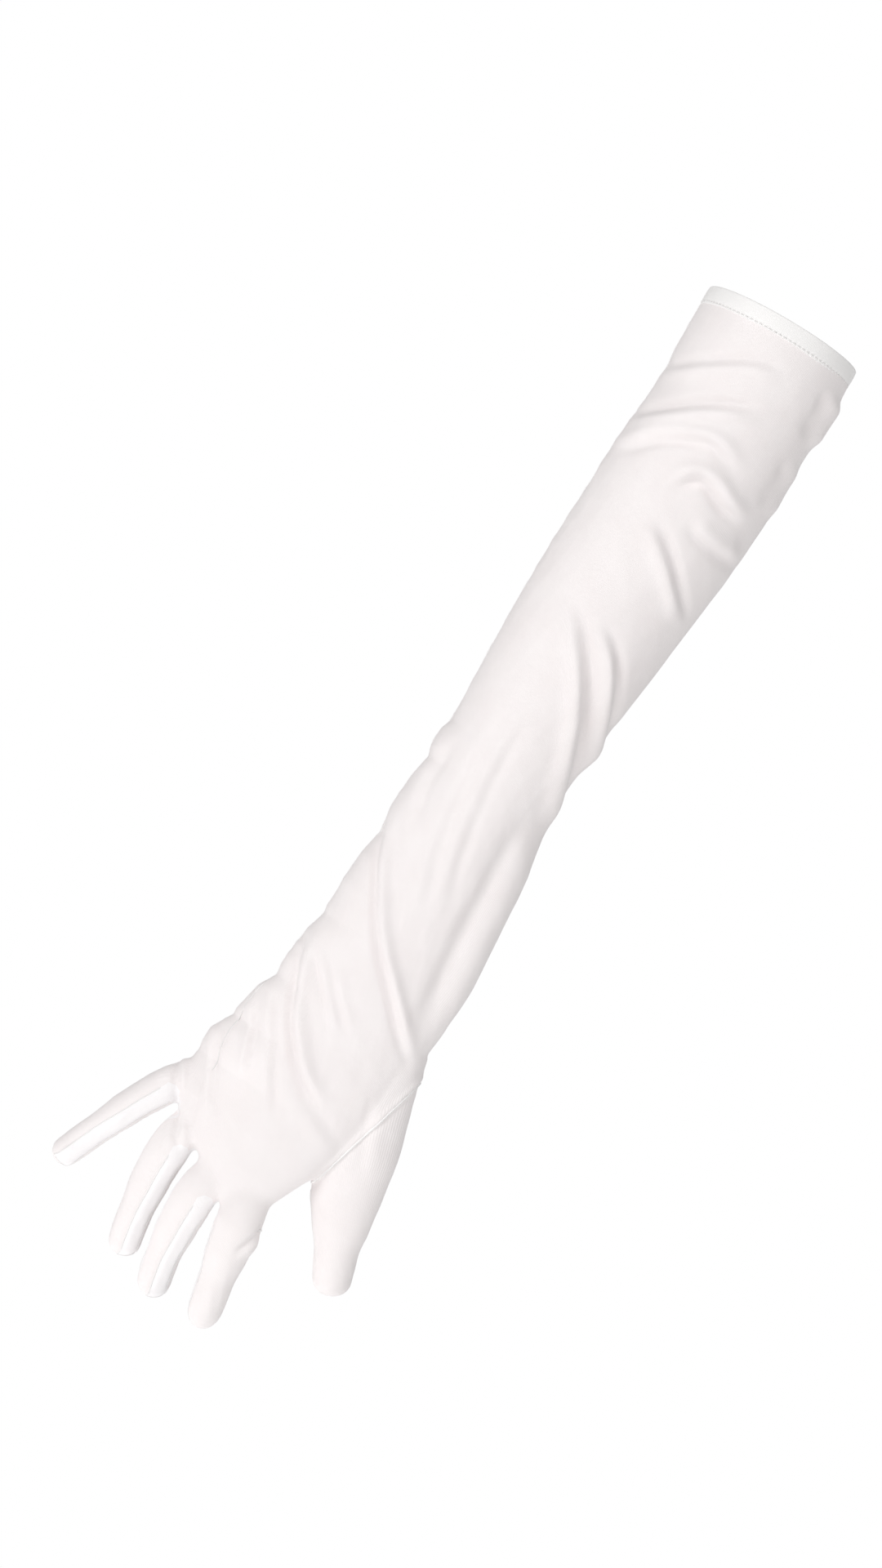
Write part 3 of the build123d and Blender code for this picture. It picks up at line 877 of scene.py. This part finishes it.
def mesh_object(name, points, faces, uv, material, loop_normals=None):
    """A smooth object with the cloth's UVs. Without given normals its faces are turned outwards."""
    mesh = bpy.data.meshes.new(name)
    mesh.from_pydata([tuple(p) for p in points], [], faces)
    if loop_normals is None:
        shape = bmesh.new()
        shape.from_mesh(mesh)
        bmesh.ops.recalc_face_normals(shape, faces=shape.faces)
        shape.to_mesh(mesh)
        shape.free()
    mesh.update()
    order = np.zeros(len(mesh.loops), int)
    mesh.loops.foreach_get("vertex_index", order)
    mesh.uv_layers.new(name="cloth").data.foreach_set("uv", uv[order].ravel())
    mesh.shade_smooth()
    if loop_normals is not None:
        mesh.normals_split_custom_set([tuple(n) for n in loop_normals])
    mesh.materials.append(material)
    return new_object(name, mesh)


def cloth_piece(name, panels, material):
    """A panel of cloth with its thickness: the outer face, the inner face, and a rim round its edges."""
    chosen = {panel_number(p) for p in panels}
    faces = [f for f in whole.faces if f[panel] in chosen]
    used = sorted({v.index for f in faces for v in f.verts})
    renumber = {old: new for new, old in enumerate(used)}
    outer = all_points[used]
    normal = all_normals[used]
    inner = outer - normal * cloth_thickness
    count = len(used)
    out_faces, loop_normals = [], []
    for way, shift in ((1, 0), (-1, count)):
        for face in faces:
            corners = [renumber[v.index] for v in face.verts][::way]
            out_faces.append([c + shift for c in corners])
            loop_normals += [normal[c] * way for c in corners]
    chosen_faces = set(faces)
    for face in faces:
        for loop in face.loops:
            others = [f for f in loop.edge.link_faces if f is not face]
            if any(f in chosen_faces for f in others):
                continue
            a, b = renumber[loop.vert.index], renumber[loop.link_loop_next.vert.index]
            out_faces.append([b, a, a + count, b + count])
            side = np.cross(outer[b] - outer[a], normal[a])
            size = np.linalg.norm(side)
            side = side / size if size > 0 else normal[a]
            loop_normals += [side] * 4
    both = np.concatenate([outer, inner])
    return mesh_object(name, both, out_faces, cloth_uv(both, name), material, loop_normals)


# ---- Upper sleeve ----
# The trank's upper length, knit cloth closed down the little-finger side.
sleeve = cloth_piece("sleeve_cloth", ["upper_sleeve"], glove_satin)
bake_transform(sleeve)
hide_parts("upper_sleeve")


# ---- Lower trank ----
# The same cloth from the forearm over the back of the hand and the palm to the fingers.
trank = cloth_piece("trank_cloth", ["trank"], glove_satin)
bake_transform(trank)
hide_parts("forearm_sleeve", "hand_back", "hand_palm")


# ---- Thumb root and crotches ----
# The thumb's own cloth, set in over the ball of the thumb, and the ends of the fourchettes, sewn
# together at the bottom of the gaps between the fingers.
root = cloth_piece("thumb_root_cloth", ["thumb_root"], glove_satin)
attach(root, "hand")
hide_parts("thumb_root")
for name in crotches:
    crotch = cloth_piece(name + "_cloth", [name], fourchette_satin)
    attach(crotch, "hand")
    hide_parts(name)


def finger_blend(piece):
    """Bakes the piece's placement into its mesh."""
    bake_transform(piece)


for finger in fingers:
    cloth = cloth_piece(f"{finger.name}_cloth", [f"{finger.name}_cloth"], glove_satin)
    finger_blend(cloth)
    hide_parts(f"{finger.name}_back", f"{finger.name}_palm")
    for side in finger.strips:
        name = strip_name(finger, side)
        strip = cloth_piece(name + "_cloth", [name], fourchette_satin)
        finger_blend(strip)
        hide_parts(name)


# ---- Seams ----
# Closed seams, sewn from the inside, so that only the tight line of the thread's pull shows outside,
# with a low welt of cloth along it.
welt_radius = 0.34 * MM
thumb_welt_radius = 0.62 * MM  # the thumb's seam stands up as a cord
welt_sides = 6
seam_cloth = satin("seam_cloth", (0.88, 0.86, 0.855), (0.84, 0.82, 0.815), 0.5, 0.2, 0.3)


def chains(edges):
    """Runs of edges that follow each other, as lists of vertex numbers."""
    beside_each = {}
    for edge in edges:
        a, b = (v.index for v in edge.verts)
        beside_each.setdefault(a, set()).add(b)
        beside_each.setdefault(b, set()).add(a)
    runs = []
    while beside_each:
        ends_first = [v for v, near in beside_each.items() if len(near) == 1] or list(beside_each)
        run = [min(ends_first)]
        while True:
            near = beside_each.get(run[-1])
            if not near:
                beside_each.pop(run[-1], None)
                break
            following = min(near)
            near.discard(following)
            if not near:
                beside_each.pop(run[-1])
            beside_each[following].discard(run[-1])
            run.append(following)
        beside_each = {v: near for v, near in beside_each.items() if near}
        if len(run) > 6:
            runs.append(run)
    return runs


def welt(name, edges, material, radius=welt_radius):
    """A thin round welt along those edges, half sunk in the cloth."""
    points, faces, normals = [], [], []
    for run in chains(edges):
        line, up = all_points[run], all_normals[run]
        for _ in range(3):
            line[1:-1] = line[1:-1] * 0.5 + (line[:-2] + line[2:]) * 0.25
        ahead = np.gradient(line, axis=0)
        ahead /= np.linalg.norm(ahead, axis=1)[:, None] + 1e-12
        side = np.cross(ahead, up)
        side /= np.linalg.norm(side, axis=1)[:, None] + 1e-12
        start = len(points)
        for i in range(len(line)):
            size = radius * (0.35 if i in (0, len(line) - 1) else 1)
            for k in range(welt_sides):
                turn = 2 * pi * k / welt_sides
                out = side[i] * cos(turn) + up[i] * sin(turn)
                points.append(line[i] + out * size)
                normals.append(out)
        faces += [(a, d, c, b) for a, b, c, d in faces_between(len(line), welt_sides, start)]
        faces.append([start + k for k in range(welt_sides)])
        last = start + (len(line) - 1) * welt_sides
        faces.append([last + k for k in reversed(range(welt_sides))])
    points, normals = np.array(points), np.array(normals)
    loop_normals = [normals[c] for f in faces for c in f]
    return mesh_object(name, points, faces, cloth_uv(points, "seam"), material, loop_normals)


def edges_between(first, second):
    """The edges where two panels meet."""
    a, b = panel_number(first), panel_number(second)
    found = []
    for edge in whole.edges:
        if len(edge.link_faces) == 2 and {f[panel] for f in edge.link_faces} == {a, b}:
            found.append(edge)
    return found


for finger in fingers:
    lines = list(closed_outside.get(finger.name, []))
    for side in finger.strips:
        lines += edges_between(f"{finger.name}_cloth", strip_name(finger, side))
    if lines:
        seam = welt(f"{finger.name}_seam_welt", lines, seam_cloth)
        finger_blend(seam)
        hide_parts(f"{finger.name}_seams")

upper_edges = [e for e in side_edges if e.verts[0].co.z + e.verts[1].co.z > 2 * join]
upper_line = welt("upper_side_seam_welt", upper_edges, seam_cloth)
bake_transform(upper_line)
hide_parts("upper_side_seam")
lower_edges = [e for e in side_edges if e.verts[0].co.z + e.verts[1].co.z < 2 * join]
lower_line = welt("lower_side_seam_welt", lower_edges, seam_cloth)
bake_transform(lower_line)
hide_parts("forearm_side_seam", "hand_side_seam")

thumb_line = welt("thumb_seam_welt", edges_between("trank", "thumb_root"), hem_satin, thumb_welt_radius)
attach(thumb_line, "hand")
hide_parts("thumb_seam")


# ---- Hem ----
# The top edge is turned in once and sewn down with one row of small straight stitches. The band is
# a little thicker than the sleeve, rounded over at the top, and drawn in along the stitching.
hem_thickness = 1.45 * MM
stitch_count = 97
stitch_drop = 8.5 * MM  # below the hem's top edge
stitch_length = 1.9 * MM
stitch_size = 0.26 * MM
points_per_stitch = 6
hem_outer = hem_high.x - 0.1 * MM


def hem_section():
    """Up the inside, over the top and down the outside, as (out from the middle, height, puff)."""
    half = hem_thickness / 2
    low, high = hem_low.z + half * 0.6, hem_high.z - half
    up = [(-half, h, 0) for h in np.linspace(low, high, 9)]
    over = [(-half * cos(t), high + half * sin(t), 0) for t in np.linspace(0, pi, 9)[1:-1]]
    down = [(half, h, sin(pi * (high - h) / (high - low))) for h in np.linspace(high, low, 22)]
    under = [(half * cos(t), low - half * 0.6 * sin(t), 0) for t in np.linspace(0, pi, 7)[1:-1]]
    return np.array(up + over + down + under)


def hem_ring():
    """The band all the way round, drawn in at each stitch."""
    section = hem_section()
    turns = np.linspace(0, 2 * pi, stitch_count * points_per_stitch, endpoint=False)
    points = []
    for turn in turns:
        slow = 0.22 * MM * sin(3 * turn + 0.6) + 0.14 * MM * sin(7 * turn)
        pinch = 0.5 + 0.5 * cos(stitch_count * turn)
        height = section[:, 1]
        drawn = np.exp(-(((height - hem_high.z + stitch_drop) / (0.9 * MM)) ** 2)) * (section[:, 0] > 0)
        puffed = hem_outer - hem_thickness / 2 + section[:, 0] + 0.22 * MM * section[:, 2]
        radius = puffed - drawn * (0.12 + 0.2 * pinch) * MM
        rolled = height + slow * (height - hem_high.z) / (hem_low.z - hem_high.z)
        points.append(np.stack([radius * cos(turn), radius * sin(turn), rolled], axis=1))
    count, rounds = len(section), len(turns)
    points = np.concatenate(points)
    faces = []
    for i in range(rounds):
        for j in range(count):
            a, b = i * count + j, i * count + (j + 1) % count
            c, d = ((i + 1) % rounds) * count + (j + 1) % count, ((i + 1) % rounds) * count + j
            faces.append([a, b, c, d])
    return points, faces


points, faces = hem_ring()
hem = mesh_object("hem_cloth", points, faces, cloth_uv(points, "hem"), hem_satin)
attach(hem, "upper_arm")
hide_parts("hem_band")

thread = satin("stitch_thread", (0.84, 0.82, 0.81), (0.80, 0.78, 0.77), 0.45, 0.3, 0.6)
points, faces = [], []
rings_along, sides_round = 7, 8
for number in range(stitch_count):
    turn = 2 * pi * (number + 0.5) / stitch_count
    out, ahead = np.array((cos(turn), sin(turn), 0)), np.array((-sin(turn), cos(turn), 0))
    up = np.array((0, 0, 1.0))
    middle = out * (hem_outer - 0.02 * MM) + (0, 0, hem_high.z - stitch_drop)
    start = len(points)
    for i in range(rings_along):
        t = -1 + 2 * i / (rings_along - 1)
        size = stitch_size * max(0.12, (1 - t**4)) ** 0.5
        sunk = 0.16 * MM * t**2
        for k in range(sides_round):
            angle = 2 * pi * k / sides_round
            place = middle + ahead * t * stitch_length / 2
            points.append(place + out * (size * cos(angle) - sunk) + up * size * sin(angle))
    faces += faces_between(rings_along, sides_round, start)
    faces.append([start + k for k in range(sides_round)])
    faces.append([start + (rings_along - 1) * sides_round + k for k in range(sides_round)])
points = np.array(points)
stitches = mesh_object("hem_stitches", points, faces, cloth_uv(points, "hem"), thread)
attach(stitches, "upper_arm")
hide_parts("hem_stitching")
